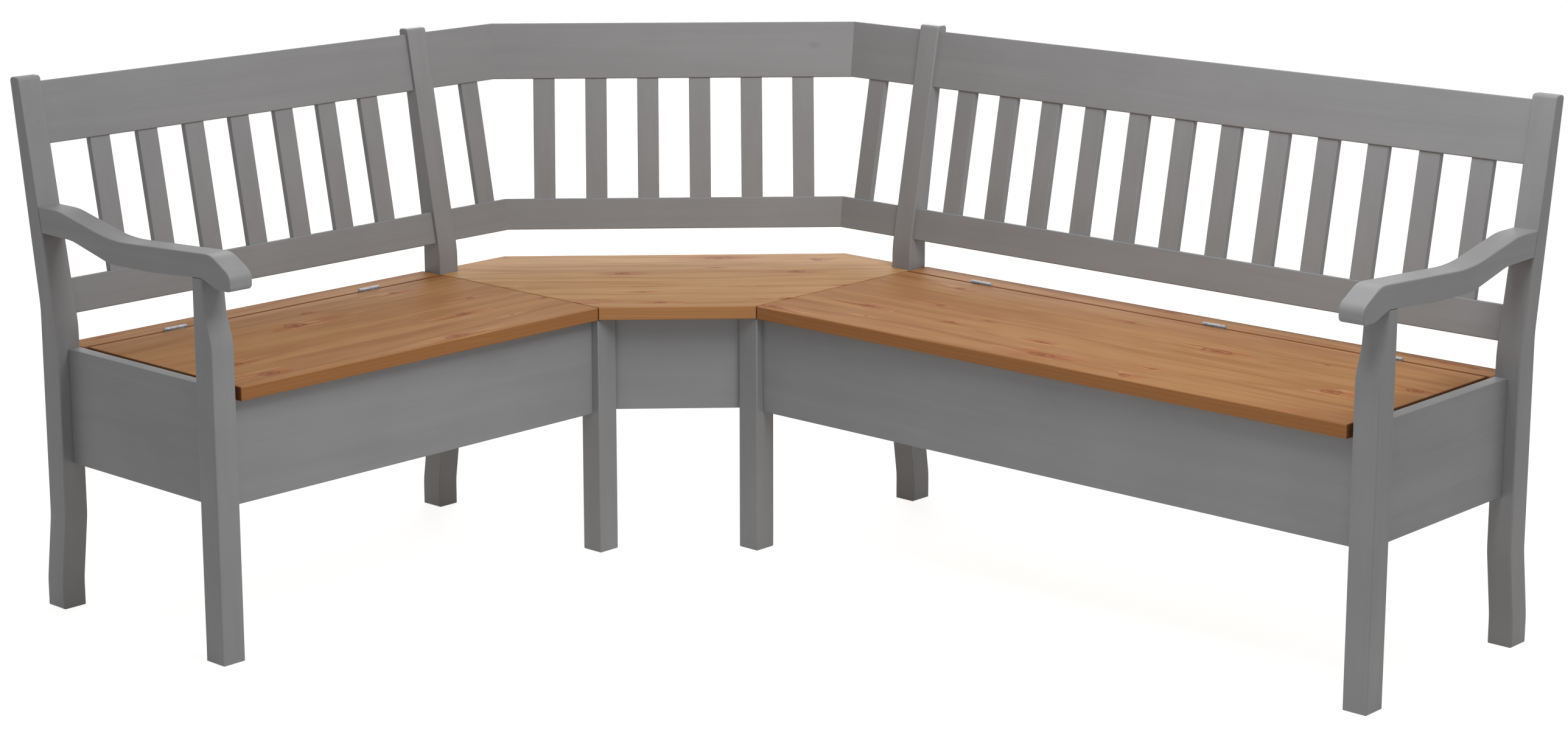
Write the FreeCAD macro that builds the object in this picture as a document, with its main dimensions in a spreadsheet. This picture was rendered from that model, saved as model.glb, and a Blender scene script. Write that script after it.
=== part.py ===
import FreeCAD, Part
import os
import re

import Sketcher
from FreeCAD import Placement, Rotation, Vector

# Corner storage bench: two wings meet at a right angle and share a corner seat.
# Each wing is a chest on four legs, with a hinged seat lid, a leaning slatted
# back and one S-curved arm at its outer end.
# All sizes are in millimetres. +Z is up and z = 0 is the floor. The long wing
# runs along +X and the short wing along -Y. The origin is the middle of the
# whole footprint. "Along" is measured from the corner of the two walls, along
# a wing. "Out" is measured from the wall behind that wing.

SIZES = {
    # Whole bench: each side from the corner of the walls to the arm's outer face
    "long_side": 2025,
    "short_side": 1585,
    "post_top": 918,
    "corner_side": 685,
    # Legs and rear posts
    "leg_section": 45,
    "leg_front": 528,
    "post_front": 102,
    "post_depth": 46,
    "foot_set_back": 17,
    "foot_straight": 48,
    "foot_curve_top": 165,
    "foot_bend": 150,
    "bend_height": 500,
    "rear_bend_height": 530,
    "post_bend": 200,
    "back_lean": 10.64,
    "post_tip": 24.4,
    "tip_round": 6,
    "edge_ease": 2.5,
    # Seat boards and chests
    "seat_top": 460,
    "board_thick": 24,
    "seat_overhang": 3,
    "strip_back": 54,
    "strip_front": 111,
    "lid_gap": 3,
    "end_gap": 8,
    "fine_gap": 1.5,
    "board_ease": 2.5,
    "panel_ease": 1.5,
    "chest_bottom": 260,
    "apron_recess": 16,
    "apron_thick": 20,
    "panel_thick": 24,
    "back_panel_inset": 4,
    "back_panel_thick": 18,
    "batten": 18,
    "batten_raise": 4,
    "floor_thick": 12,
    "lid_batten_width": 60,
    "lid_batten_inset": 40,
    "lid_batten_end": 130,
    # Leaning back
    "rail_recess": 7.5,
    "rail_thick": 16,
    "top_rail_drop": 10,
    "top_rail_height": 105,
    "low_rail_raise": 57,
    "low_rail_height": 59,
    "rail_ease": 2,
    "slat_width": 41,
    "slat_thick": 12,
    "slat_recess": 3,
    "slat_ease": 1.5,
    "long_slat_count": 12,
    "long_slat_margin": 58.3,
    "short_slat_count": 7,
    "short_slat_margin": 86,
    # Corner module
    "corner_cut": 358,
    "corner_slat_count": 6,
    "corner_slat_margin": 45,
    "side_slat_margin": 77.5,
    "corner_seat_back": 64,
    "seat_fit": 0.5,
    "corner_apron_recess": 10,
    "bearer_thick": 20,
    "bearer_height": 60,
    "bearer_inset": 9,
    # Arms and arm posts
    "arm_top": 703,
    "arm_thick": 44,
    "arm_shoulder": 121,
    "shoulder_bend": 150,
    "arm_dip": 269,
    "dip_drop": 31,
    "dip_bend": 330,
    "arm_reach": 53.5,
    "brow_back": 49.5,
    "brow_drop": 17,
    "brow_bend": 50,
    "nose_drop": 45,
    "nose_bend": 18,
    "chin_drop": 72.5,
    "chin_back": 33.5,
    "chin_bend": 9,
    "perch_drop": 59,
    "belly_back": 158,
    "belly_drop": 69,
    "waist_back": 266,
    "waist_drop": 71,
    "waist_bend": 120,
    "heel_out": 155,
    "heel_drop": 45.5,
    "arm_post_tip": 24,
    "arm_post_straight": 535,
    "arm_post_waist": 582,
    "arm_post_waist_depth": 30,
    "arm_post_bend": 70,
    # Hinges
    "hinge_length": 46,
    "hinge_rise": 3.2,
    "knuckle_radius": 2.8,
    "pin_radius": 1.3,
    "pin_fit": 0.05,
    "knuckle_gap": 0.4,
    "leaf_thick": 1.3,
    "leaf_height": 22,
    "pin_head_radius": 2,
    "pin_head_thick": 0.8,
    "pin_head_fit": 0.2,
    "hinge_end": 182,
    "middle_hinge": 704,
}

doc = FreeCAD.newDocument("CornerStorageBench")
sheet = doc.addObject("Spreadsheet::Sheet", "Sizes")
for row, (alias, number) in enumerate(SIZES.items(), start=1):
    sheet.set(f"A{row}", alias)
    sheet.set(f"B{row}", str(number))
    sheet.setAlias(f"B{row}", alias)
doc.recompute()

PARTS = []


# Expressions, sketches and features

def linked(text):
    """Point each size named in an expression at its cell in the sheet."""
    return re.sub(r"[a-z]\w+", lambda word: f"Sizes.{word[0]}" if word[0] in SIZES else word[0], text)


def value(text):
    """Work out an expression of sizes as a number."""
    return float(sheet.evalExpression(linked(text)))


def bind(thing, prop, text):
    """Tie a property to an expression of sizes."""
    thing.setExpression(prop, linked(text))


def new_body(label):
    """Start one piece, which may be a group of equal solids."""
    body = doc.addObject("PartDesign::Body", "Body_" + label)
    body.Label = label
    body.AllowCompound = True
    PARTS.append(body)
    return body


def origin_feature(body, role):
    return next(item for item in body.Origin.OriginFeatures if item.Role == role)


def new_sketch(body, plane, at="0"):
    """Put a sketch on one of the body's own planes, or at a distance from it."""
    sketch = body.newObject("Sketcher::SketchObject", "Sketch")
    sketch.AttachmentSupport = (origin_feature(body, plane), [""])
    sketch.MapMode = "FlatFace"
    bind(sketch, "AttachmentOffset.Base.z", at)
    return sketch


def draw_polygon(sketch, corners):
    """Draw a closed outline whose corners are pairs of expressions."""
    points = [Vector(value(across), value(up), 0) for across, up in corners]
    first = sketch.GeometryCount
    for here, there in zip(points, points[1:] + points[:1]):
        sketch.addGeometry(Part.LineSegment(here, there))
    for index, corner in enumerate(corners):
        after = first + (index + 1) % len(corners)
        sketch.addConstraint(Sketcher.Constraint("Coincident", first + index, 2, after, 1))
        for kind, text in zip(("DistanceX", "DistanceY"), corner):
            rule = Sketcher.Constraint(kind, -1, 1, first + index, 1, value(text))
            bind(sketch, f"Constraints[{sketch.addConstraint(rule)}]", text)


def draw_circle(sketch, centre, radius):
    """Draw a circle with its centre and radius as expressions."""
    middle = Vector(value(centre[0]), value(centre[1]), 0)
    circle = sketch.addGeometry(Part.Circle(middle, Vector(0, 0, 1), value(radius)))
    for kind, text in zip(("DistanceX", "DistanceY"), centre):
        rule = Sketcher.Constraint(kind, -1, 1, circle, 3, value(text))
        bind(sketch, f"Constraints[{sketch.addConstraint(rule)}]", text)
    rule = Sketcher.Constraint("Radius", circle, value(radius))
    bind(sketch, f"Constraints[{sketch.addConstraint(rule)}]", radius)


def pad(body, sketch, length, centred=False, backward=False):
    """Raise a sketch into a solid, to one side or evenly to both."""
    feature = body.newObject("PartDesign::Pad", "Pad")
    feature.Profile = sketch
    feature.Midplane = centred
    feature.Reversed = backward
    bind(feature, "Length", length)
    doc.recompute()
    return feature


def round_edges(body, middles, radius):
    """Round the edges whose middles lie at the given points of the body."""
    base = body.Tip
    found = edges_at(base.Shape, middles)
    feature = body.newObject("PartDesign::Fillet", "Fillet")
    feature.Base = (base, found)
    bind(feature, "Radius", radius)
    doc.recompute()


def edges_at(shape, middles):
    names = []
    for middle in middles:
        near = min(range(len(shape.Edges)), key=lambda i: (shape.Edges[i].CenterOfMass - middle).Length)
        names.append(f"Edge{near + 1}")
    return names


def ease_edges(body, chosen, radius):
    """Ease every edge that a test picks, so that no visible edge is left sharp."""
    base = body.Tip
    names = [f"Edge{i + 1}" for i, edge in enumerate(base.Shape.Edges) if chosen(edge)]
    feature = body.newObject("PartDesign::Fillet", "Eased")
    feature.Base = (base, names)
    bind(feature, "Radius", radius)
    doc.recompute()


def on_side_faces(edge):
    """An edge of one of the two flat sides of a profile that was raised along X."""
    return edge.BoundBox.XLength < 0.001


def along_x(edge):
    return edge.BoundBox.YLength < 0.001 and edge.BoundBox.ZLength < 0.001


def along_lean(edge):
    return edge.BoundBox.XLength < 0.001 and edge.BoundBox.ZLength > value("slat_width")


def any_edge(edge):
    return True


def round_corners(body, bends):
    """Round the corners of a centred profile: pairs of a corner and a radius."""
    for (across, up), radius in bends:
        round_edges(body, [Vector(0, value(across), value(up))], radius)


def stand(body, place, along="0", out="0", up="0"):
    """Turn a body to its wing or the corner, and set its distance from the walls."""
    body.Placement = Placement(Vector(), Rotation(Vector(0, 0, 1), place["turn"]))
    east, south = place["spread"](along, out)
    bind(body, "Placement.Base.x", f"{east} - long_side / 2")
    bind(body, "Placement.Base.y", f"short_side / 2 - ({south})")
    bind(body, "Placement.Base.z", up)


LONG = {"name": "long", "side": "long_side", "turn": 0, "sign": 1,
        "spread": lambda along, out: (along, out)}
SHORT = {"name": "short", "side": "short_side", "turn": 90, "sign": -1,
         "spread": lambda along, out: (out, along)}
CORNER = {"name": "corner", "turn": 45, "sign": 1,
          "spread": lambda along, out: (f"({out}) * sqrt(0.5)", f"({out}) * sqrt(0.5)")}

# Places shared by both wings
POST_BACK = "(post_front - post_depth)"
LEG_BACK = "(leg_front - leg_section)"
FRAME_END = "(corner_side + leg_section)"
BOARD_LOW = "(seat_top - board_thick)"
APRON_FRONT = "(leg_front - apron_recess)"
APRON_BACK = "(leg_front - apron_recess - apron_thick)"
BACK_PANEL_FRONT = "(post_front - post_depth + back_panel_inset + back_panel_thick)"
LID_BACK = "(strip_front + lid_gap)"
LID_FRONT = "(leg_front + seat_overhang)"
LID_START = "(corner_side + leg_section + fine_gap)"
TOP_RAIL_HIGH = "(post_top - top_rail_drop)"
TOP_RAIL_LOW = "(post_top - top_rail_drop - top_rail_height)"
LOW_RAIL_LOW = "(seat_top + low_rail_raise)"
LOW_RAIL_HIGH = "(seat_top + low_rail_raise + low_rail_height)"
HINGE_OUT = "(strip_front + lid_gap / 2)"
HINGE_UP = "(seat_top + hinge_rise)"


def post_face(up):
    """How far out a rear post's leaning front face stands at a height."""
    return f"(post_front - (({up}) - bend_height) * tan(back_lean))"


def rail_point(up, set_back):
    """A point of a rail's section, square behind its front face at a height."""
    out = f"({post_face(up)} - rail_recess - ({set_back}) * cos(back_lean))"
    return f"-{out}", f"({up}) - ({set_back}) * sin(back_lean)"


def boards(label, place, spans, low, high, ease=None):
    """A group of level boards: each span is its start, end, back and front."""
    body = new_body(label)
    sketch = new_sketch(body, "XY_Plane")
    for start, end, back, front in spans:
        ends = [f"{place['sign']} * ({start})", f"{place['sign']} * ({end})"]
        draw_polygon(sketch, [(ends[0], f"-({back})"), (ends[1], f"-({back})"),
                              (ends[1], f"-({front})"), (ends[0], f"-({front})")])
    pad(body, sketch, f"({high}) - ({low})")
    if ease:
        ease_edges(body, any_edge, ease)
    stand(body, place, up=low)


# Frame of a wing: rear posts, front legs and arm

def rear_post(label, wing, middle):
    """A post with a foot set back in a soft curve, and a leaning, tapering head."""
    foot_back = f"-({POST_BACK} - foot_set_back)"
    foot_front = "-(post_front - foot_set_back)"
    low_back = (foot_back, "foot_straight")
    high_back = (f"-{POST_BACK}", "foot_curve_top")
    lean_back = (f"-{POST_BACK}", "rear_bend_height")
    low_front = (foot_front, "foot_straight")
    high_front = ("-post_front", "foot_curve_top")
    lean_front = ("-post_front", "bend_height")
    tip_front = f"-{post_face('post_top')}"
    tip_back = f"{tip_front} + post_tip"
    body = new_body(label)
    sketch = new_sketch(body, "YZ_Plane")
    draw_polygon(sketch, [
        (foot_back, "0"), low_back, high_back, lean_back, (tip_back, "post_top"),
        (tip_front, "post_top"), lean_front, high_front, low_front, (foot_front, "0")])
    pad(body, sketch, "leg_section", centred=True)
    round_corners(body, [(low_back, "foot_bend"), (high_back, "foot_bend"),
                         (low_front, "foot_bend"), (high_front, "foot_bend"),
                         (lean_back, "post_bend"), (lean_front, "post_bend")])
    top = value("post_top")
    front = value(tip_front)
    back = value(tip_back)
    round_edges(body, [Vector(0, front, top), Vector(0, back, top)], "tip_round")
    ease_edges(body, on_side_faces, "edge_ease")
    stand(body, wing, along=middle)


def inner_front_leg(label, wing):
    boards(label, wing, [("corner_side", FRAME_END, LEG_BACK, "leg_front")], "0", BOARD_LOW, "edge_ease")


def arm_under(out):
    """Height of the arm's straight underside, from its belly to the arm post."""
    rise = "(belly_drop - perch_drop) / (belly_back - (leg_section - arm_post_tip))"
    return f"(arm_top - belly_drop + (({out}) - (leg_front - belly_back)) * {rise})"


def outer_front_leg(label, wing):
    """A front leg that goes on above the seat as the arm's post, curved back."""
    perch = f"({LEG_BACK} + arm_post_tip)"
    shoulder = ("-leg_front", "arm_post_straight")
    waist = (f"-({LEG_BACK} + arm_post_waist_depth)", "arm_post_waist")
    body = new_body(label)
    sketch = new_sketch(body, "YZ_Plane")
    draw_polygon(sketch, [
        (f"-{LEG_BACK}", "0"), (f"-{LEG_BACK}", arm_under(LEG_BACK)),
        (f"-{perch}", arm_under(perch)), waist, shoulder, ("-leg_front", "0")])
    pad(body, sketch, "leg_section", centred=True)
    round_corners(body, [(shoulder, "arm_post_bend"), (waist, "arm_post_bend")])
    ease_edges(body, on_side_faces, "edge_ease")
    stand(body, wing, along=f"{wing['side']} - leg_section / 2")


def armrest(label, wing):
    """An arm that dips behind the elbow, rises to a round nose and sits on its post."""
    nose = "(leg_front + arm_reach)"
    shoulder = ("-arm_shoulder", "arm_top")
    dip = ("-arm_dip", "arm_top - dip_drop")
    brow = (f"-({nose} - brow_back)", "arm_top - brow_drop")
    nose_top = (f"-{nose}", "arm_top - nose_drop")
    nose_low = (f"-{nose}", "arm_top - chin_drop")
    chin = (f"-({nose} - chin_back)", "arm_top - chin_drop")
    perch = f"({LEG_BACK} + arm_post_tip)"
    belly = ("-(leg_front - belly_back)", "arm_top - belly_drop")
    waist = ("-(leg_front - waist_back)", "arm_top - waist_drop")
    heel = ("-heel_out", "arm_top - heel_drop")
    body = new_body(label)
    sketch = new_sketch(body, "YZ_Plane")
    draw_polygon(sketch, [
        (f"-{post_face('arm_top')}", "arm_top"), shoulder, dip, brow, nose_top, nose_low, chin,
        (f"-{perch}", arm_under(perch)), belly, waist, heel,
        (f"-{post_face('arm_top - arm_thick')}", "arm_top - arm_thick")])
    pad(body, sketch, "leg_section", centred=True)
    round_corners(body, [
        (shoulder, "shoulder_bend"), (dip, "dip_bend"), (brow, "brow_bend"),
        (nose_top, "nose_bend"), (nose_low, "chin_bend"), (chin, "chin_bend"),
        (waist, "waist_bend"), (heel, "waist_bend")])
    ease_edges(body, on_side_faces, "edge_ease")
    stand(body, wing, along=f"{wing['side']} - leg_section / 2")


# Leaning back: rails and slats

def raise_rail(body, low, high, length, centred=True, backward=False):
    """Raise a leaning rail's section along its wing, with its long edges eased."""
    sketch = new_sketch(body, "YZ_Plane")
    draw_polygon(sketch, [rail_point(low, "0"), rail_point(high, "0"),
                          rail_point(high, "rail_thick"), rail_point(low, "rail_thick")])
    pad(body, sketch, length, centred, backward)
    ease_edges(body, along_x, "rail_ease")


def back_rail(label, wing, low, high):
    """A leaning rail between the two rear posts of a wing."""
    inner_end = FRAME_END
    outer_end = f"({wing['side']} - leg_section)"
    body = new_body(label)
    raise_rail(body, low, high, f"{outer_end} - {inner_end}")
    stand(body, wing, along=f"({inner_end} + {outer_end}) / 2")


def slats(label, place, count, room, margin, along, out="0"):
    """Equal slats between the rails, spread over a room less its end margins."""
    pitch = f"(({room}) - 2 * ({margin}) - slat_width) / ({count} - 1)" if value(count) > 1 else "0"
    body = new_body(label)
    sketch = new_sketch(body, "YZ_Plane", at=f"-({count} - 1) * {pitch} / 2")
    behind = "slat_recess + slat_thick"
    draw_polygon(sketch, [
        rail_point(LOW_RAIL_HIGH, "slat_recess"), rail_point(TOP_RAIL_LOW, "slat_recess"),
        rail_point(TOP_RAIL_LOW, behind), rail_point(LOW_RAIL_HIGH, behind)])
    slat = pad(body, sketch, "slat_width", centred=True)
    if value(count) > 1:
        row = body.newObject("PartDesign::LinearPattern", "Row")
        row.Originals = [slat]
        row.Direction = (origin_feature(body, "X_Axis"), [""])
        bind(row, "Length", f"({count} - 1) * {pitch}")
        bind(row, "Occurrences", count)
        body.Tip = row
        doc.recompute()
    ease_edges(body, along_lean, "slat_ease")
    stand(body, place, along=along, out=out)


def cut_mitres(body, lines):
    """Cut a rail's ends off upright: each line is the cut's place far out and far in."""
    whole = body.Tip.Shape.Volume
    sketch = new_sketch(body, "XY_Plane")
    for near_place, far_place, waste in lines:
        draw_polygon(sketch, [(near_place, "corner_cut"), (far_place, "-corner_cut"),
                              (waste, "-corner_cut"), (waste, "corner_cut")])
    feature = body.newObject("PartDesign::Pocket", "Mitres")
    feature.Profile = sketch
    feature.Reversed = True
    bind(feature, "Length", "post_top")
    doc.recompute()
    if feature.Shape.Volume > whole - 1:
        raise ValueError(f"{body.Label}: the mitre cut nothing")


def corner_side_rail(label, wing, low, high):
    """A short leaning rail from an inner rear post to the mitre with the centre rail."""
    sign = wing["sign"]
    reach = "(corner_side - corner_cut * sqrt(2) + 2 * rail_thick)"
    body = new_body(label)
    raise_rail(body, low, high, reach, centred=False, backward=sign > 0)
    middle = f"(corner_cut * sqrt(2) - corner_side)"
    swing = "corner_cut * tan(22.5)"
    cut_mitres(body, [(f"{sign} * ({middle} - {swing})", f"{sign} * ({middle} + {swing})",
                       f"-{sign} * corner_side")])
    stand(body, wing, along="corner_side")


def corner_centre_rail(label, low, high):
    """The leaning rail across the corner, mitred at both ends."""
    body = new_body(label)
    raise_rail(body, low, high, "2 * (corner_cut + rail_thick)")
    swing = "corner_cut * tan(22.5)"
    cut_mitres(body, [(f"{side} * (corner_cut + {swing})", f"{side} * (corner_cut - {swing})",
                       f"{side} * 2 * corner_cut") for side in (1, -1)])
    stand(body, CORNER, out="corner_cut")


# Hinges: knuckle halves on two leaves, with a headed pin through both

def hinge_places(wing):
    lid_end = f"({wing['side']} - leg_section - end_gap)"
    places = [f"({LID_START} + hinge_end)", f"({lid_end} - hinge_end)"]
    if wing is LONG:
        places.insert(1, f"({LID_START} + middle_hinge)")
    return places


def hinge_leaves(label, wing, half, out_start):
    """Leaves that stand in the lid's gap, each with a knuckle on one half."""
    body = new_body(label)
    knuckle = "((hinge_length - knuckle_gap) / 2)"
    own_start = "0" if half == 0 else f"({knuckle} + knuckle_gap)"
    other_start = f"{knuckle}" if half == 0 else "0"
    out_end = f"({out_start} + leaf_thick)"
    root = f"({HINGE_UP} - pin_radius - pin_fit - 0.25)"
    clear = f"({HINGE_UP} - hinge_rise)"
    foot = f"({clear} - leaf_height)"
    for place in hinge_places(wing):
        start = f"({wing['sign']} * {place} - hinge_length / 2)"
        for begin, length, head in ((own_start, knuckle, root),
                                    (other_start, f"{knuckle} + knuckle_gap", clear)):
            plate = new_sketch(body, "YZ_Plane", at=f"{start} + {begin}")
            draw_polygon(plate, [(f"-{out_start}", foot), (f"-{out_end}", foot),
                                 (f"-{out_end}", head), (f"-{out_start}", head)])
            pad(body, plate, length)
        ring = new_sketch(body, "YZ_Plane", at=f"{start} + {own_start}")
        draw_circle(ring, (f"-{HINGE_OUT}", HINGE_UP), "knuckle_radius")
        draw_circle(ring, (f"-{HINGE_OUT}", HINGE_UP), "pin_radius + pin_fit")
        pad(body, ring, knuckle)
    stand(body, wing)


def hinge_pins(label, wing):
    """A pin with a flat head at each end of every hinge."""
    body = new_body(label)
    head_place = "(hinge_length / 2 + pin_head_fit)"
    whole = f"(2 * ({head_place} + pin_head_thick))"
    for place in hinge_places(wing):
        centre = f"({wing['sign']} * {place})"
        shaft = new_sketch(body, "YZ_Plane", at=f"{centre} - {whole} / 2")
        draw_circle(shaft, (f"-{HINGE_OUT}", HINGE_UP), "pin_radius")
        pad(body, shaft, whole)
        for start in (f"{centre} - {whole} / 2", f"{centre} + {head_place}"):
            head = new_sketch(body, "YZ_Plane", at=start)
            draw_circle(head, (f"-{HINGE_OUT}", HINGE_UP), "pin_head_radius")
            pad(body, head, "pin_head_thick")
    stand(body, wing)


# One wing, from its frame to its hinges

def build_wing(wing):
    name = wing["name"] + "_"
    side = wing["side"]
    outer_end = f"({side} - leg_section)"
    lid_end = f"({outer_end} - end_gap)"
    rear_post(name + "inner_rear_post", wing, "corner_side + leg_section / 2")
    rear_post(name + "outer_rear_post", wing, f"{side} - leg_section / 2")
    inner_front_leg(name + "inner_front_leg", wing)
    outer_front_leg(name + "outer_front_leg", wing)
    armrest(name + "armrest", wing)

    boards(name + "front_apron", wing, [(FRAME_END, outer_end, APRON_BACK, APRON_FRONT)],
           "chest_bottom", BOARD_LOW, "panel_ease")
    boards(name + "side_panel", wing, [(outer_end, f"{outer_end} + panel_thick", "post_front", LEG_BACK)],
           "chest_bottom", "seat_top", "panel_ease")
    boards(name + "inner_panel", wing, [(f"{FRAME_END} - panel_thick", FRAME_END, "post_front", LEG_BACK)],
           "chest_bottom", BOARD_LOW)
    boards(name + "back_panel", wing,
           [(FRAME_END, outer_end, f"{POST_BACK} + back_panel_inset", BACK_PANEL_FRONT)],
           "chest_bottom", BOARD_LOW)
    batten_low = "(chest_bottom + batten_raise)"
    boards(name + "bottom_battens", wing,
           [(FRAME_END, outer_end, f"{APRON_BACK} - batten", APRON_BACK),
            (FRAME_END, outer_end, BACK_PANEL_FRONT, f"{BACK_PANEL_FRONT} + batten")],
           batten_low, f"{batten_low} + batten")
    boards(name + "bottom_board", wing, [(FRAME_END, outer_end, BACK_PANEL_FRONT, APRON_BACK)],
           f"{batten_low} + batten", f"{batten_low} + batten + floor_thick")
    boards(name + "seat_cleat", wing,
           [(f"{FRAME_END} - panel_thick - batten", f"{FRAME_END} - panel_thick", "post_front", LEG_BACK)],
           f"{BOARD_LOW} - batten", BOARD_LOW)
    boards(name + "lid_ledges", wing,
           [(FRAME_END, f"{FRAME_END} + batten", LID_BACK, APRON_BACK),
            (f"{outer_end} - batten", outer_end, LID_BACK, APRON_BACK)],
           f"{BOARD_LOW} - batten", BOARD_LOW)

    back_rail(name + "top_rail", wing, TOP_RAIL_LOW, TOP_RAIL_HIGH)
    back_rail(name + "lower_rail", wing, LOW_RAIL_LOW, LOW_RAIL_HIGH)
    slats(name + "back_slats", wing, f"{wing['name']}_slat_count", f"{outer_end} - {FRAME_END}",
          f"{wing['name']}_slat_margin", f"({FRAME_END} + {outer_end}) / 2")

    boards(name + "rear_strip", wing,
           [(LID_START, f"{outer_end} - seat_fit", "strip_back", "strip_front")],
           BOARD_LOW, "seat_top", "board_ease")
    boards(name + "seat_lid", wing, [(LID_START, lid_end, LID_BACK, LID_FRONT)],
           BOARD_LOW, "seat_top", "board_ease")
    crossings = [f"({LID_START} + lid_batten_end)", f"({lid_end} - lid_batten_end - lid_batten_width)"]
    if wing is LONG:
        crossings.insert(1, f"(({LID_START} + {lid_end} - lid_batten_width) / 2)")
    boards(name + "lid_battens", wing,
           [(start, f"{start} + lid_batten_width", f"{LID_BACK} + lid_batten_inset",
             f"{APRON_BACK} - lid_batten_inset") for start in crossings],
           f"{BOARD_LOW} - batten", BOARD_LOW)

    hinge_leaves(name + "hinge_strip_leaves", wing, 0, "strip_front")
    hinge_leaves(name + "hinge_lid_leaves", wing, 1, f"({LID_BACK} - leaf_thick)")
    hinge_pins(name + "hinge_pins", wing)


# Corner seat, its apron and bearer, and the three-sided back

def corner_board(label, corners, low, high, ease):
    """A level piece of the corner: its outline is pairs of distances from the walls."""
    body = new_body(label)
    sketch = new_sketch(body, "XY_Plane")
    draw_polygon(sketch, [(east, f"-({south})") for east, south in corners])
    pad(body, sketch, f"({high}) - ({low})")
    ease_edges(body, any_edge, ease)
    stand(body, LONG, up=low)


def across_corner(out_front, thick):
    """The outline of a piece set at 45 degrees between the two inner end frames."""
    front = f"({out_front})"
    back = f"({out_front} - {thick} * sqrt(2))"
    return [("corner_side", front), (front, "corner_side"), (back, "corner_side"), ("corner_side", back)]


def build_corner():
    notch_out = "(post_front + seat_fit)"
    notch_end = "(corner_side - seat_fit)"
    chamfer = "(corner_cut * sqrt(2) + corner_seat_back * tan(22.5) + seat_fit)"
    half_outline = [(FRAME_END, LID_FRONT), (FRAME_END, notch_out), (notch_end, notch_out),
                    (notch_end, "corner_seat_back"), (chamfer, "corner_seat_back")]
    mirrored = [(south, east) for east, south in reversed(half_outline)]
    corner_board("corner_seat", half_outline + mirrored, BOARD_LOW, "seat_top", "board_ease")
    apron_face = "leg_front - corner_apron_recess * sqrt(2)"
    corner_board("corner_front_apron", across_corner(apron_face, "apron_thick"),
                 "chest_bottom", BOARD_LOW, "panel_ease")
    corner_board("corner_rear_bearer", across_corner("post_front - bearer_inset", "bearer_thick"),
                 f"{BOARD_LOW} - bearer_height", BOARD_LOW, "panel_ease")
    for wing in (LONG, SHORT):
        start = f"corner_{wing['name']}_side_"
        corner_side_rail(start + "top_rail", wing, TOP_RAIL_LOW, TOP_RAIL_HIGH)
        corner_side_rail(start + "lower_rail", wing, LOW_RAIL_LOW, LOW_RAIL_HIGH)
        slats(start + "slat", wing, "1", "0", "0", "corner_side - side_slat_margin - slat_width / 2")
    corner_centre_rail("corner_centre_top_rail", TOP_RAIL_LOW, TOP_RAIL_HIGH)
    corner_centre_rail("corner_centre_lower_rail", LOW_RAIL_LOW, LOW_RAIL_HIGH)
    slats("corner_centre_slats", CORNER, "corner_slat_count",
          "2 * (corner_cut - post_front * tan(22.5))", "corner_slat_margin", "0", out="corner_cut")


build_wing(LONG)
build_wing(SHORT)
build_corner()
doc.recompute()

for item in doc.Objects:
    if "Invalid" in item.State or "Error" in item.State:
        raise RuntimeError(f"{item.Name} ({item.TypeId}): {item.State}")
for body in PARTS:
    if body.Shape.isNull() or not body.Shape.isValid() or not body.Shape.Solids:
        raise RuntimeError(f"{body.Label}: no valid solid")

os.makedirs("parts", exist_ok=True)
for body in PARTS:
    body.Shape.exportStep(f"parts/{body.Label}.step")
print(len(PARTS), "pieces")
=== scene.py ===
import math

import bpy
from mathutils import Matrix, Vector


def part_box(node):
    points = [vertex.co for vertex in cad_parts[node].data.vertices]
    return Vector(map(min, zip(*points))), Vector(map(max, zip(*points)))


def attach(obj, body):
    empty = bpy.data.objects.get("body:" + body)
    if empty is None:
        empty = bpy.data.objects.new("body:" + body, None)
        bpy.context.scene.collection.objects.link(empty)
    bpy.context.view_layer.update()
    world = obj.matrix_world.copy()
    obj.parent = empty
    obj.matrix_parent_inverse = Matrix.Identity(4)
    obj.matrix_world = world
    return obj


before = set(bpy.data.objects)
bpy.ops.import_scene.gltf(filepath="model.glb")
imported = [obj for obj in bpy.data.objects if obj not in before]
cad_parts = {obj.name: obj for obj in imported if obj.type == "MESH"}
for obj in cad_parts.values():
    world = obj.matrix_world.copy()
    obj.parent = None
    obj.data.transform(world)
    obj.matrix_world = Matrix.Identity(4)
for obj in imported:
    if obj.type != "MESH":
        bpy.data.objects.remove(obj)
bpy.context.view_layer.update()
bpy.ops.object.select_all(action="DESELECT")

# Rear posts: sawn softwood posts with a curved foot and a leaning head,
# painted in satin grey, which lets the grain and a few knots show through.
# The grain runs up the post.
PAINT_GREY = (138, 138, 139)
PAINT_PALE = (146, 146, 147)
PAINT_KNOT = (112, 112, 112)
PAINT_KNOT_CELLS = (4.2, 9.0, 9.0)
PAINT_CLEAR_SHARE = 0.72
PAINT_KNOT_SHOW = 0.35
PAINT_RELIEF = 0.0006
UPRIGHT = (0.0, math.radians(90), 0.0)


def from_screen(colour):
    """Turn an 8-bit screen colour into the linear colour that a shader takes."""
    parts = [level / 255 for level in colour]
    linear = [part / 12.92 if part <= 0.04045 else ((part + 0.055) / 1.055) ** 2.4 for part in parts]
    return (*linear, 1.0)


def add_node(tree, kind, inputs=None, **settings):
    """Add a node with its settings, and link or set each input that is given."""
    node = tree.nodes.new(kind)
    for name, setting in settings.items():
        setattr(node, name, setting)
    for name, given in (inputs or {}).items():
        if isinstance(given, bpy.types.NodeSocket):
            tree.links.new(given, node.inputs[name])
        else:
            node.inputs[name].default_value = given
    return node


def calculate(tree, operation, *terms):
    """Add a Math node and return its value."""
    return add_node(tree, "ShaderNodeMath", dict(enumerate(terms)), operation=operation).outputs[0]


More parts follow.
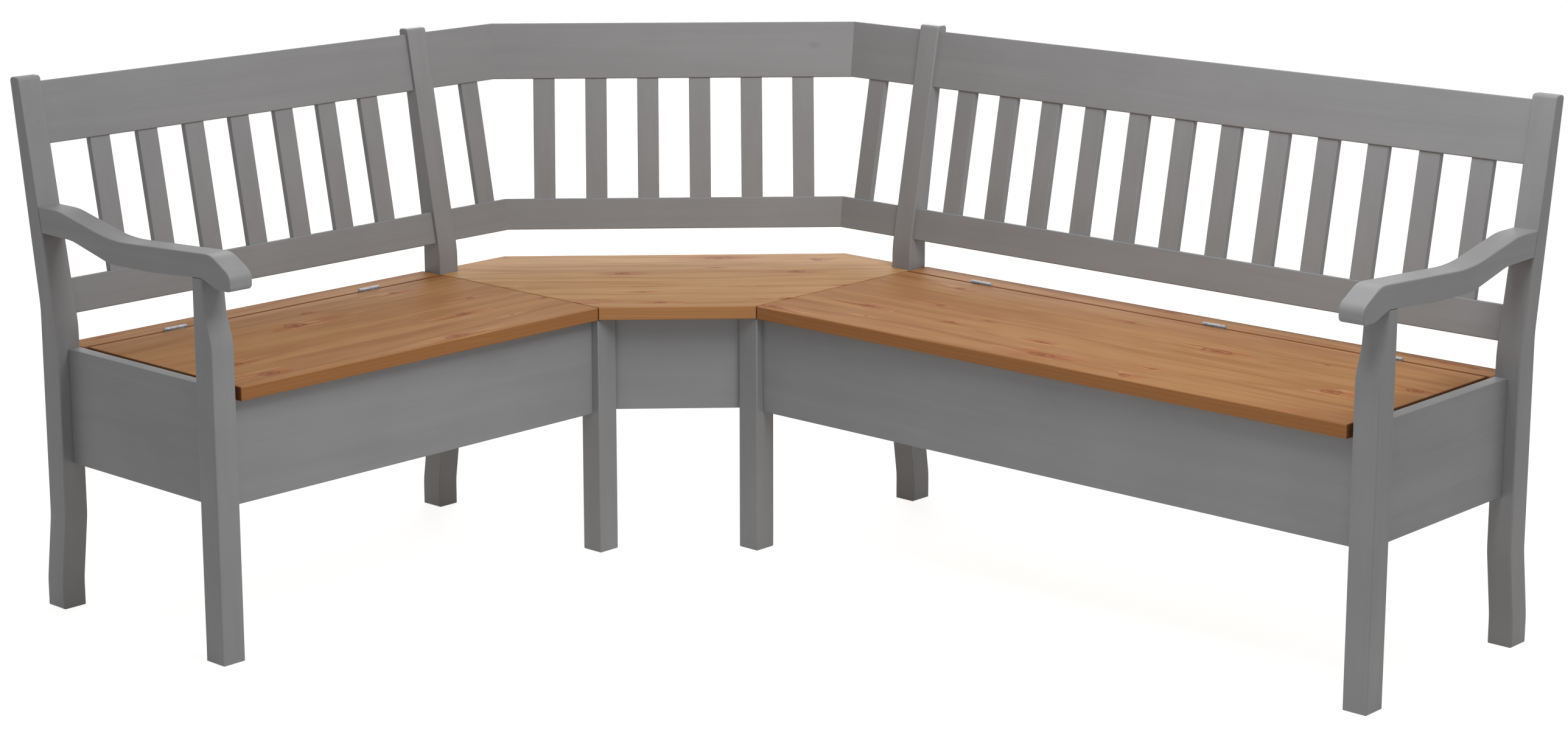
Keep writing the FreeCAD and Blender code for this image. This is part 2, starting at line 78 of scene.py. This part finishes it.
def remap(tree, value, low, high, new_low=0.0, new_high=1.0):
    """Spread a value between two limits over a new range, softly at both ends."""
    limits = {"Value": value, "From Min": low, "From Max": high, "To Min": new_low, "To Max": new_high}
    return add_node(tree, "ShaderNodeMapRange", limits, interpolation_type="SMOOTHSTEP").outputs["Result"]


def mix_colours(tree, factor, first, second):
    """Mix two colours by a mask and return the colour."""
    node = add_node(tree, "ShaderNodeMix", data_type="RGBA")
    for place, given in ((0, factor), (6, first), (7, second)):
        if isinstance(given, bpy.types.NodeSocket):
            tree.links.new(given, node.inputs[place])
        else:
            node.inputs[place].default_value = given
    return node.outputs[2]


def stretch(tree, vector, factors):
    """Scale a position along and across the grain."""
    return add_node(tree, "ShaderNodeVectorMath", {0: vector, 1: factors}, operation="MULTIPLY").outputs[0]


def new_group(name, outputs):
    """Start a node group that reads a position whose X runs along the grain."""
    group = bpy.data.node_groups.new(name, "ShaderNodeTree")
    group.interface.new_socket("Position", in_out="INPUT", socket_type="NodeSocketVector")
    for output in outputs:
        group.interface.new_socket(output, in_out="OUTPUT", socket_type="NodeSocketFloat")
    return group, group.nodes.new("NodeGroupInput"), group.nodes.new("NodeGroupOutput")


def make_painted_grain():
    """Grain, brush marks and knots as they show through a coat of paint."""
    group, source, result = new_group("painted grain", ("Shade", "Height", "Knot"))
    place = source.outputs["Position"]
    fibres = add_node(group, "ShaderNodeTexNoise", {
        "Vector": stretch(group, place, (3.0, 210.0, 210.0)), "Scale": 1.0, "Detail": 4.0, "Roughness": 0.6})
    figure = add_node(group, "ShaderNodeTexNoise", {
        "Vector": stretch(group, place, (1.6, 26.0, 26.0)), "Scale": 1.0, "Detail": 3.0, "Roughness": 0.55,
        "Distortion": 0.8})
    cloud = add_node(group, "ShaderNodeTexNoise", {"Vector": place, "Scale": 7.0, "Detail": 3.0})
    cells = add_node(group, "ShaderNodeTexVoronoi", {
        "Vector": stretch(group, place, PAINT_KNOT_CELLS), "Scale": 1.0})
    rarity = add_node(group, "ShaderNodeSeparateColor", {"Color": cells.outputs["Color"]}).outputs[0]
    near = remap(group, cells.outputs["Distance"], 0.02, 0.09, 1.0, 0.0)
    knot = calculate(group, "MULTIPLY", near, calculate(group, "GREATER_THAN", rarity, PAINT_CLEAR_SHARE))
    shade = calculate(group, "MULTIPLY_ADD", figure.outputs["Fac"], 0.45,
                      calculate(group, "MULTIPLY", cloud.outputs["Fac"], 0.35))
    shade = calculate(group, "MULTIPLY_ADD", fibres.outputs["Fac"], 0.2, shade)
    height = calculate(group, "MULTIPLY_ADD", fibres.outputs["Fac"], 0.6,
                       calculate(group, "MULTIPLY", figure.outputs["Fac"], 0.5))
    height = calculate(group, "SUBTRACT", height, calculate(group, "MULTIPLY", knot, 0.35))
    group.links.new(shade, result.inputs["Shade"])
    group.links.new(height, result.inputs["Height"])
    group.links.new(knot, result.inputs["Knot"])
    return group


PAINTED_GRAIN = make_painted_grain()


def placed(tree, turn, shift=(0.0, 0.0, 0.0)):
    """The object's own coordinates, turned so that X runs along the grain."""
    coordinates = tree.nodes.new("ShaderNodeTexCoord").outputs["Object"]
    return add_node(tree, "ShaderNodeMapping",
                    {"Vector": coordinates, "Rotation": turn, "Location": shift}).outputs["Vector"]


def start_material(name):
    """Start a material and return it with its node tree and its surface."""
    material = bpy.data.materials.new(name)
    material.use_nodes = True
    tree = material.node_tree
    return material, tree, tree.nodes["Principled BSDF"]


def grey_paint(name, turn, shift=(0.0, 0.0, 0.0)):
    """Satin grey paint over softwood whose grain runs the given way."""
    material, tree, surface = start_material(name)
    grain = add_node(tree, "ShaderNodeGroup", node_tree=PAINTED_GRAIN)
    tree.links.new(placed(tree, turn, shift), grain.inputs["Position"])
    shade = remap(tree, grain.outputs["Shade"], 0.3, 0.7)
    coat = mix_colours(tree, shade, from_screen(PAINT_GREY), from_screen(PAINT_PALE))
    faint = calculate(tree, "MULTIPLY", grain.outputs["Knot"], PAINT_KNOT_SHOW)
    knotted = mix_colours(tree, faint, coat, from_screen(PAINT_KNOT))
    bump = add_node(tree, "ShaderNodeBump", {
        "Height": grain.outputs["Height"], "Strength": 0.35, "Distance": PAINT_RELIEF})
    tree.links.new(knotted, surface.inputs["Base Color"])
    tree.links.new(remap(tree, grain.outputs["Shade"], 0.2, 0.8, 0.5, 0.4), surface.inputs["Roughness"])
    tree.links.new(bump.outputs["Normal"], surface.inputs["Normal"])
    surface.inputs["Specular IOR Level"].default_value = 0.4
    return material


def finish_nodes(material, *nodes):
    """Give the named pieces their finish."""
    for name in nodes:
        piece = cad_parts[name]
        piece.data.materials.clear()
        piece.data.materials.append(material)


POST_PAINT = grey_paint("post paint", UPRIGHT)
finish_nodes(POST_PAINT, "long_outer_rear_post", "long_inner_rear_post",
             "short_outer_rear_post", "short_inner_rear_post")

# Front legs: straight painted legs. The outer two go on above the seat as the
# arms' posts, and the inner two stop under the corner seat. The grain runs up.
LEG_PAINT = grey_paint("leg paint", UPRIGHT, shift=(0.37, 0.11, 0.0))
finish_nodes(LEG_PAINT, "long_outer_front_leg", "long_inner_front_leg",
             "short_outer_front_leg", "short_inner_front_leg")

# Arms, aprons, panels and rails: painted boards with the grain along them.
# Each wing has its own direction, and the corner's boards lie across it.
ALONG_LONG = (0.0, 0.0, 0.0)
ALONG_SHORT = (0.0, 0.0, math.radians(-90))
ALONG_CORNER = (0.0, 0.0, math.radians(-45))
LONG_BOARD_PAINT = grey_paint("long wing board paint", ALONG_LONG)
SHORT_BOARD_PAINT = grey_paint("short wing board paint", ALONG_SHORT, shift=(0.8, 0.2, 0.0))
CORNER_BOARD_PAINT = grey_paint("corner board paint", ALONG_CORNER, shift=(0.3, 0.4, 0.1))
finish_nodes(LONG_BOARD_PAINT, "long_front_apron", "long_back_panel", "long_top_rail", "long_lower_rail",
             "short_side_panel", "short_inner_panel", "short_seat_cleat", "short_armrest",
             "corner_long_side_top_rail", "corner_long_side_lower_rail")
finish_nodes(SHORT_BOARD_PAINT, "short_front_apron", "short_back_panel", "short_top_rail", "short_lower_rail",
             "long_side_panel", "long_inner_panel", "long_seat_cleat", "long_armrest",
             "corner_short_side_top_rail", "corner_short_side_lower_rail")
finish_nodes(CORNER_BOARD_PAINT, "corner_front_apron", "corner_rear_bearer",
             "corner_centre_top_rail", "corner_centre_lower_rail")

# Back slats: narrow painted uprights between the rails of the two wings and
# the corner. The grain runs up the slats.
SLAT_PAINT = grey_paint("slat paint", UPRIGHT, shift=(0.9, 0.0, 0.3))
finish_nodes(SLAT_PAINT, "long_back_slats", "short_back_slats", "corner_centre_slats",
             "corner_long_side_slat", "corner_short_side_slat")

# Seat boards: lids, rear strips and the corner seat are glued up from pine
# planks, stained a honey brown and waxed. Knots and planks differ in tone,
# and a thin line shows where two planks meet. The wood beside the gap behind
# each lid is darkened with painted shade.
LID_PALE = (173, 127, 82)
LID_HONEY = (149, 99, 57)
CORNER_PALE = (198, 155, 108)
CORNER_HONEY = (176, 129, 82)
PINE_DARK = (122, 72, 38)
PINE_KNOT = (118, 64, 40)
PINE_HALO = (156, 84, 48)
PINE_SMEAR = (196, 150, 99)
PINE_EDGE = (180, 124, 77)
# The dark tone of stained end grain, also used as painted shade on the wood beside the gap behind each lid.
PINE_END_GRAIN_AND_GAP_SHADE = (104, 60, 32)
PLANK_WIDTH = 0.1043
RING_GAP = 0.0034
LOG_DEPTH = 0.07
KNOT_CELLS = (5.2, 8.6)
KNOT_LEAST = 0.003
KNOT_SPREAD = 0.0105
# Where the painted shade of the gap behind a lid is centred, across the grain from the lid's back edge.
GAP_MIDDLE = 0.0015
LID_CLEAR_SHARE = 0.58
CORNER_CLEAR_SHARE = 0.32


def make_pine_planks():
    """Flat-sawn pine in glued planks: X runs along the grain, Y across it and Z up."""
    outputs = ("Figure", "Fibres", "Plank", "Knot", "Halo", "Smear", "Seam")
    group, source, result = new_group("pine planks", outputs)
    group.interface.new_socket("Clear Share", in_out="INPUT", socket_type="NodeSocketFloat")
    place = source.outputs["Position"]
    along, across, up = add_node(group, "ShaderNodeSeparateXYZ", {"Vector": place}).outputs
    plank = calculate(group, "DIVIDE", across, PLANK_WIDTH)
    number = calculate(group, "FLOOR", plank)
    chance = add_node(group, "ShaderNodeTexWhiteNoise", {"W": number}, noise_dimensions="1D").outputs["Value"]
    seam = remap(group, calculate(group, "PINGPONG", plank, 0.5), 0.002, 0.007, 1.0, 0.0)
    shifted = calculate(group, "MULTIPLY_ADD", chance, 7.3, along)
    flat = add_node(group, "ShaderNodeCombineXYZ", {0: shifted, 1: across, 2: up}).outputs[0]

    cells = add_node(group, "ShaderNodeTexVoronoi", {
        "Vector": stretch(group, flat, (*KNOT_CELLS, 0.0)), "Scale": 1.0, "Randomness": 0.9})
    centre = stretch(group, cells.outputs["Position"], (1 / KNOT_CELLS[0], 1 / KNOT_CELLS[1], 0.0))
    offset = add_node(group, "ShaderNodeVectorMath", {0: flat, 1: centre}, operation="SUBTRACT").outputs[0]
    off_along, off_across, _ = add_node(group, "ShaderNodeSeparateXYZ", {"Vector": offset}).outputs
    chances = add_node(group, "ShaderNodeSeparateColor", {"Color": cells.outputs["Color"]})
    rarity, growth, slant = chances.outputs
    present = calculate(group, "GREATER_THAN", rarity, source.outputs["Clear Share"])
    radius = calculate(group, "MULTIPLY_ADD", calculate(group, "POWER", growth, 1.6), KNOT_SPREAD, KNOT_LEAST)
    ragged = add_node(group, "ShaderNodeTexNoise", {
        "Vector": stretch(group, flat, (45.0, 130.0, 20.0)), "Scale": 1.0, "Detail": 2.0}).outputs["Fac"]

    def distance(slimness):
        """Distance from the knot in its own radii, with the knot drawn out along the grain."""
        drawn = add_node(group, "ShaderNodeCombineXYZ", {
            0: calculate(group, "MULTIPLY", off_along, slimness), 1: off_across}).outputs[0]
        length = add_node(group, "ShaderNodeVectorMath", {0: drawn}, operation="LENGTH").outputs["Value"]
        rough = calculate(group, "MULTIPLY_ADD", ragged, 1.1, -0.55)
        return calculate(group, "ADD", calculate(group, "DIVIDE", length, radius), rough)

    inward = distance(calculate(group, "MULTIPLY_ADD", slant, 0.5, 0.35))
    from_rim = calculate(group, "ABSOLUTE", calculate(group, "SUBTRACT", inward, 1.0))
    rim = remap(group, from_rim, 0.08, 0.32, 0.7, 0.0)
    knot = calculate(group, "MAXIMUM", rim, remap(group, inward, 0.25, 0.65, 1.0, 0.0))
    knot = calculate(group, "MULTIPLY", present, knot)
    streaks = add_node(group, "ShaderNodeTexNoise", {
        "Vector": stretch(group, flat, (9.0, 150.0, 150.0)), "Scale": 1.0, "Detail": 2.0}).outputs["Fac"]
    spread = distance(0.24)
    halo = calculate(group, "MULTIPLY", remap(group, spread, 0.8, 2.6, 1.0, 0.0),
                     remap(group, streaks, 0.35, 0.6))
    halo = calculate(group, "MAXIMUM", halo, remap(group, inward, 0.9, 1.4, 0.85, 0.0))
    halo = calculate(group, "MULTIPLY", present, halo)
    smear = calculate(group, "MULTIPLY", remap(group, spread, 1.2, 4.2, 1.0, 0.0),
                      remap(group, streaks, 0.5, 0.38))
    smear = calculate(group, "MULTIPLY", present, smear)

    nearness = calculate(group, "DIVIDE", 1.0, calculate(group, "ADD", spread, 1.0))
    reach = calculate(group, "POWER", nearness, 2.0)
    parted = calculate(group, "MULTIPLY", calculate(group, "MULTIPLY", off_across, reach), present)
    wander = add_node(group, "ShaderNodeTexNoise", {
        "Vector": stretch(group, flat, (1.3, 7.0, 7.0)), "Scale": 1.0, "Detail": 2.0}).outputs["Fac"]
    middle = calculate(group, "MULTIPLY", calculate(group, "ADD", number, 0.5), PLANK_WIDTH)
    sideways = calculate(group, "SUBTRACT", calculate(group, "SUBTRACT", across, middle),
                         calculate(group, "MULTIPLY", parted, 1.6))
    sideways = calculate(group, "MULTIPLY_ADD", chance, 0.08, sideways)
    depth = calculate(group, "MULTIPLY_ADD", chance, 0.05, calculate(group, "ADD", up, LOG_DEPTH))
    from_heart = add_node(group, "ShaderNodeCombineXYZ", {0: sideways, 1: depth}).outputs[0]
    age = add_node(group, "ShaderNodeVectorMath", {0: from_heart}, operation="LENGTH").outputs["Value"]
    rings = calculate(group, "MULTIPLY_ADD", wander, 9.0, calculate(group, "DIVIDE", age, RING_GAP))
    late_wood = calculate(group, "POWER", calculate(group, "PINGPONG", rings, 1.0), 2.0)
    soft = add_node(group, "ShaderNodeTexNoise", {
        "Vector": stretch(group, flat, (1.2, 22.0, 22.0)), "Scale": 1.0, "Detail": 3.0}).outputs["Fac"]
    lines = add_node(group, "ShaderNodeTexNoise", {
        "Vector": stretch(group, flat, (1.8, 150.0, 150.0)), "Scale": 1.0, "Detail": 3.0,
        "Roughness": 0.6}).outputs["Fac"]
    grain = calculate(group, "MULTIPLY_ADD", lines, 0.55, calculate(group, "MULTIPLY", soft, 0.45))
    figure = calculate(group, "MULTIPLY_ADD", late_wood, 0.26, grain)
    fibres = add_node(group, "ShaderNodeTexNoise", {
        "Vector": stretch(group, flat, (7.0, 420.0, 420.0)), "Scale": 1.0, "Detail": 3.0,
        "Roughness": 0.65}).outputs["Fac"]
    for name, output in zip(outputs, (figure, fibres, chance, knot, halo, smear, seam)):
        group.links.new(output, result.inputs[name])
    return group


PINE_PLANKS = make_pine_planks()


def facing(tree, turn):
    """Masks for the long sides and the end grain of a board, from its own normal."""
    normal = tree.nodes.new("ShaderNodeTexCoord").outputs["Normal"]
    turned = add_node(tree, "ShaderNodeMapping", {"Vector": normal, "Rotation": turn}, vector_type="VECTOR")
    ends, sides, _ = add_node(tree, "ShaderNodeSeparateXYZ", {"Vector": turned.outputs["Vector"]}).outputs
    return (remap(tree, calculate(tree, "ABSOLUTE", sides), 0.6, 0.85),
            remap(tree, calculate(tree, "ABSOLUTE", ends), 0.35, 0.7))


def stained_pine(name, turn, shift, pale, honey, clear_share):
    """Stain and wax over glued pine planks, with painted shade darkening the wood along the edges that meet
    at Y nought.
    """
    material, tree, surface = start_material(name)
    position = placed(tree, turn, shift)
    wood = add_node(tree, "ShaderNodeGroup", node_tree=PINE_PLANKS)
    tree.links.new(position, wood.inputs["Position"])
    wood.inputs["Clear Share"].default_value = clear_share
    figure, fibres, plank, knot, halo, smear, seam = wood.outputs
    sides, ends = facing(tree, turn)
    across = add_node(tree, "ShaderNodeSeparateXYZ", {"Vector": position}).outputs["Y"]
    # Painted shade: wood within a few millimetres of the gap at Y nought is darkened with the end-grain tone,
    # standing in for the shade in the gap; the end grain itself is darker from the stain.
    from_gap = calculate(tree, "ABSOLUTE", calculate(tree, "SUBTRACT", across, GAP_MIDDLE))
    end_grain_and_gap_shade = calculate(tree, "MAXIMUM", ends, remap(tree, from_gap, 0.0025, 0.0055, 1.0, 0.0))
    tone = remap(tree, figure, 0.32, 0.82)
    base = mix_colours(tree, tone, from_screen(pale), from_screen(honey))
    toned = mix_colours(tree, remap(tree, plank, 0.5, 1.0, 0.0, 0.2), base, from_screen(PINE_DARK))
    varied = mix_colours(tree, remap(tree, plank, 0.5, 0.0, 0.0, 0.2), toned, from_screen(PINE_SMEAR))
    fibred = mix_colours(tree, remap(tree, fibres, 0.45, 0.75, 0.0, 0.35), varied, from_screen(PINE_DARK))
    smeared = mix_colours(tree, calculate(tree, "MULTIPLY", smear, 0.55), fibred, from_screen(PINE_SMEAR))
    haloed = mix_colours(tree, calculate(tree, "MULTIPLY", halo, 0.6), smeared, from_screen(PINE_HALO))
    edged = mix_colours(tree, calculate(tree, "MULTIPLY", sides, 0.55), haloed, from_screen(PINE_EDGE))
    # End grain, and painted shade beside the gap, in the end-grain tone.
    end_grain_and_gap_shaded = mix_colours(tree, calculate(tree, "MULTIPLY", end_grain_and_gap_shade, 0.8), edged, from_screen(PINE_END_GRAIN_AND_GAP_SHADE))
    knotted = mix_colours(tree, calculate(tree, "MULTIPLY", knot, 0.75), end_grain_and_gap_shaded, from_screen(PINE_KNOT))
    joined = mix_colours(tree, calculate(tree, "MULTIPLY", seam, 0.3), knotted, from_screen(PINE_DARK))
    height = calculate(tree, "MULTIPLY_ADD", fibres, 0.5, calculate(tree, "MULTIPLY", figure, 0.4))
    height = calculate(tree, "SUBTRACT", height, calculate(tree, "MULTIPLY", seam, 0.6))
    bump = add_node(tree, "ShaderNodeBump", {"Height": height, "Strength": 0.25, "Distance": 0.0005})
    tree.links.new(joined, surface.inputs["Base Color"])
    tree.links.new(remap(tree, fibres, 0.3, 0.8, 0.58, 0.72), surface.inputs["Roughness"])
    tree.links.new(bump.outputs["Normal"], surface.inputs["Normal"])
    surface.inputs["Specular IOR Level"].default_value = 0.12
    return material


LID_SPECS = (("long", ALONG_LONG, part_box("long_seat_lid")[1].y),
             ("short", ALONG_SHORT, -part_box("short_seat_lid")[0].x))
for wing, turn, back_edge in LID_SPECS:
    lid_pine = stained_pine(wing + " lid pine", turn, (0.0, -back_edge, 0.0),
                            LID_PALE, LID_HONEY, LID_CLEAR_SHARE)
    finish_nodes(lid_pine, wing + "_seat_lid", wing + "_rear_strip")
seat_low, seat_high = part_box("corner_seat")
SEAT_REAR = (seat_high.y - seat_low.x) / math.sqrt(2)
corner_pine = stained_pine("corner seat pine", ALONG_CORNER, (0.4, -SEAT_REAR, 0.0),
                           CORNER_PALE, CORNER_HONEY, CORNER_CLEAR_SHARE)
finish_nodes(corner_pine, "corner_seat")

# Chest floors and battens: plain planed softwood inside the chests and under
# the lids, without stain or paint.
BARE_PALE = (214, 184, 140)
BARE_DARK = (186, 148, 104)
BARE_CLEAR_SHARE = 0.5


def bare_softwood(name, turn):
    """Planed softwood with no finish."""
    material, tree, surface = start_material(name)
    wood = add_node(tree, "ShaderNodeGroup", node_tree=PINE_PLANKS)
    tree.links.new(placed(tree, turn), wood.inputs["Position"])
    wood.inputs["Clear Share"].default_value = BARE_CLEAR_SHARE
    figure, fibres, knot = (wood.outputs[output] for output in ("Figure", "Fibres", "Knot"))
    base = mix_colours(tree, remap(tree, figure, 0.35, 0.95), from_screen(BARE_PALE), from_screen(BARE_DARK))
    knotted = mix_colours(tree, calculate(tree, "MULTIPLY", knot, 0.7), base, from_screen(PINE_KNOT))
    bump = add_node(tree, "ShaderNodeBump", {"Height": fibres, "Strength": 0.3, "Distance": 0.0005})
    tree.links.new(knotted, surface.inputs["Base Color"])
    tree.links.new(remap(tree, fibres, 0.3, 0.8, 0.6, 0.75), surface.inputs["Roughness"])
    tree.links.new(bump.outputs["Normal"], surface.inputs["Normal"])
    return material


for wing, turn, cross in (("long", ALONG_LONG, ALONG_SHORT), ("short", ALONG_SHORT, ALONG_LONG)):
    finish_nodes(bare_softwood(wing + " chest wood", turn), wing + "_bottom_board", wing + "_bottom_battens")
    finish_nodes(bare_softwood(wing + " cross batten wood", cross),
                 wing + "_lid_battens", wing + "_lid_ledges")

# Hinges: pressed steel butt hinges in the gap behind each lid, zinc plated to
# a cool blue grey, with a headed steel pin through the knuckles.
ZINC_PALE = (198, 204, 211)
ZINC_DARK = (160, 168, 177)
ZINC_METALLIC = 0.35


def zinc_plate(name):
    """Zinc plating with a faint cloudy spangle."""
    material, tree, surface = start_material(name)
    place = placed(tree, (0.0, 0.0, 0.0))
    cloud = add_node(tree, "ShaderNodeTexNoise", {
        "Vector": place, "Scale": 260.0, "Detail": 3.0}).outputs["Fac"]
    colour = mix_colours(tree, remap(tree, cloud, 0.35, 0.65), from_screen(ZINC_DARK), from_screen(ZINC_PALE))
    bump = add_node(tree, "ShaderNodeBump", {"Height": cloud, "Strength": 0.15, "Distance": 0.0002})
    tree.links.new(colour, surface.inputs["Base Color"])
    tree.links.new(remap(tree, cloud, 0.3, 0.7, 0.32, 0.48), surface.inputs["Roughness"])
    tree.links.new(bump.outputs["Normal"], surface.inputs["Normal"])
    surface.inputs["Metallic"].default_value = ZINC_METALLIC
    return material


ZINC = zinc_plate("zinc plated steel")
for wing in ("long", "short"):
    finish_nodes(ZINC, wing + "_hinge_strip_leaves", wing + "_hinge_lid_leaves", wing + "_hinge_pins")

# Hinge screws: small countersunk cross-head screws, three through each leaf,
# zinc plated like the hinges. Their heads stand a hair proud of the leaves.
SCREW_RADIUS = 0.0024
SCREW_PROUD = 0.00012
SCREW_DEPTH = 0.0008
LEAF_FACE = 0.0002
SCREW_STEP = 0.016
SCREW_HEIGHTS = (0.4455, 0.4535, 0.4455)
HINGE_FROM_END = 0.182
MIDDLE_HINGE = 0.704


def model_screw_head():
    """One screw head at the origin, facing up, with a round recess in its top."""
    bpy.ops.mesh.primitive_cylinder_add(
        vertices=24, radius=SCREW_RADIUS, depth=SCREW_DEPTH,
        location=(0.0, 0.0, SCREW_PROUD - SCREW_DEPTH / 2))
    head = bpy.context.object
    bpy.ops.object.transform_apply(location=True, rotation=False, scale=False)
    bpy.ops.object.mode_set(mode="EDIT")
    bpy.ops.mesh.select_mode(type="FACE")
    bpy.ops.mesh.select_all(action="DESELECT")
    bpy.ops.object.mode_set(mode="OBJECT")
    for face in head.data.polygons:
        face.select = face.normal.z > 0.9
    bpy.ops.object.mode_set(mode="EDIT")
    bpy.ops.mesh.inset(thickness=SCREW_RADIUS * 0.12, depth=SCREW_PROUD * 0.4)
    bpy.ops.mesh.inset(thickness=SCREW_RADIUS * 0.45, depth=0.0)
    bpy.ops.mesh.inset(thickness=SCREW_RADIUS * 0.12, depth=-SCREW_DEPTH * 0.5)
    bpy.ops.object.mode_set(mode="OBJECT")
    return head


def drive_screws(wing, along_x, body, side, label):
    """Copy the head to each screw place on one side of a wing's hinges."""
    lid_low, lid_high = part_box(wing + "_seat_lid")
    pin_low, pin_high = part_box(wing + "_hinge_pins")
    if along_x:
        inner_end, outer_end, outward = lid_low.x, lid_high.x, 1
        gap = (pin_low.y + pin_high.y) / 2
    else:
        inner_end, outer_end, outward = lid_high.y, lid_low.y, -1
        gap = (pin_low.x + pin_high.x) / 2
    middles = [inner_end + outward * HINGE_FROM_END, outer_end - outward * HINGE_FROM_END]
    if along_x:
        middles.insert(1, inner_end + outward * MIDDLE_HINGE)
    places = [(middle + step * SCREW_STEP, height)
              for middle in middles for step, height in zip((-1, 0, 1), SCREW_HEIGHTS)]
    for number, (place, height) in enumerate(places, 1):
        screw = SCREW_HEAD.copy()
        screw.data = SCREW_HEAD.data.copy()
        screw.name = f"{wing}_{label}_screw_{number}"
        bpy.context.collection.objects.link(screw)
        if along_x:
            screw.location = (place, gap + side * LEAF_FACE, height)
            screw.rotation_euler = (-side * math.radians(90), 0.0, 0.0)
        else:
            screw.location = (gap - side * LEAF_FACE, place, height)
            screw.rotation_euler = (0.0, -side * math.radians(90), 0.0)
        bpy.ops.object.select_all(action="DESELECT")
        screw.select_set(True)
        bpy.context.view_layer.objects.active = screw
        bpy.ops.object.transform_apply(location=True, rotation=True, scale=False)
        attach(screw, body)


SCREW_HEAD = model_screw_head()
SCREW_HEAD.data.materials.append(ZINC)
for wing, along_x in (("long", True), ("short", False)):
    drive_screws(wing, along_x, "frame", -1, "strip")
    drive_screws(wing, along_x, wing + "_lid", 1, "lid")
bpy.data.objects.remove(SCREW_HEAD)

# Studio: a white floor, a soft key light from above with a weaker one behind,
# and a camera at standing height before the corner.
CAMERA_PLACE = (3.4478, -3.7322, 1.6734)
CAMERA_YAW = math.radians(42.512)
CAMERA_PITCH = math.radians(11.685)
CAMERA_LENS = 71.42
CAMERA_SHIFT = -0.07
SENSOR_WIDTH = 36.0
WORLD_LIGHT = 0.33
FLOOR_SIZE = 40.0
FLOOR_SHADE = 0.8
FLOOR_DIMMING = 0.35
FLOOR_GLOW = 0.86
KEY_PLACE = (0.9, -0.2, 2.4)
KEY_AIM = (-0.2, 0.2, 0.4)
KEY_SIZE = 1.4
KEY_POWER = 36
REAR_PLACE = (-3.0, 3.0, 2.2)
REAR_AIM = (0.0, 0.0, 0.4)
REAR_SIZE = 2.5
REAR_POWER = 60

bpy.ops.mesh.primitive_plane_add(size=FLOOR_SIZE, location=(0.0, 0.0, 0.0))
floor = bpy.context.object
floor.name = "studio_floor"


def sees_background(tree):
    """One for the rays that should see a white background, else nought."""
    path = tree.nodes.new("ShaderNodeLightPath")
    seen = calculate(tree, "ADD", path.outputs["Is Camera Ray"], path.outputs["Is Glossy Ray"])
    return calculate(tree, "MINIMUM", calculate(tree, "ADD", seen, path.outputs["Is Transmission Ray"]), 1.0)


def floor_paint():
    """A white floor that shows pure white to the camera and keeps a soft shadow."""
    material, tree, surface = start_material("studio floor paint")
    seen = sees_background(tree)
    shade = calculate(tree, "MULTIPLY_ADD", seen, -FLOOR_DIMMING, FLOOR_SHADE)
    tree.links.new(shade, surface.inputs["Base Color"])
    tree.links.new(calculate(tree, "MULTIPLY", seen, FLOOR_GLOW), surface.inputs["Emission Strength"])
    surface.inputs["Emission Color"].default_value = (1.0, 1.0, 1.0, 1.0)
    surface.inputs["Roughness"].default_value = 0.9
    surface.inputs["Specular IOR Level"].default_value = 0.0
    return material


floor.data.materials.append(floor_paint())

world = bpy.data.worlds.new("studio")
world.use_nodes = True
bpy.context.scene.world = world
sky = world.node_tree
ambient = sky.nodes["Background"]
ambient.inputs["Color"].default_value = (1.0, 1.0, 1.0, 1.0)
ambient.inputs["Strength"].default_value = WORLD_LIGHT
backdrop = add_node(sky, "ShaderNodeBackground", {"Color": (1.0, 1.0, 1.0, 1.0), "Strength": 1.0})
choice = add_node(sky, "ShaderNodeMixShader", {
    0: sees_background(sky), 1: ambient.outputs[0], 2: backdrop.outputs[0]})
sky.links.new(choice.outputs[0], sky.nodes["World Output"].inputs["Surface"])


def add_softbox(name, place, aim, size, power):
    """A square area lamp at a place, turned to face another."""
    bpy.ops.object.light_add(type="AREA", location=place)
    lamp = bpy.context.object
    lamp.name = name
    lamp.data.size = size
    lamp.data.energy = power
    way = lamp.location.copy()
    way.x, way.y, way.z = (a - b for a, b in zip(aim, place))
    lamp.rotation_euler = way.to_track_quat("-Z", "Y").to_euler()


add_softbox("key_softbox", KEY_PLACE, KEY_AIM, KEY_SIZE, KEY_POWER)
add_softbox("rear_softbox", REAR_PLACE, REAR_AIM, REAR_SIZE, REAR_POWER)

camera_data = bpy.data.cameras.new("photo camera")
camera_data.sensor_width = SENSOR_WIDTH
camera_data.lens = CAMERA_LENS
camera_data.shift_y = CAMERA_SHIFT
camera = bpy.data.objects.new("photo_camera", camera_data)
camera.location = CAMERA_PLACE
camera.rotation_euler = (math.radians(90) - CAMERA_PITCH, 0.0, CAMERA_YAW)
bpy.context.collection.objects.link(camera)
bpy.context.scene.camera = camera
bpy.context.scene.view_settings.view_transform = "Standard"
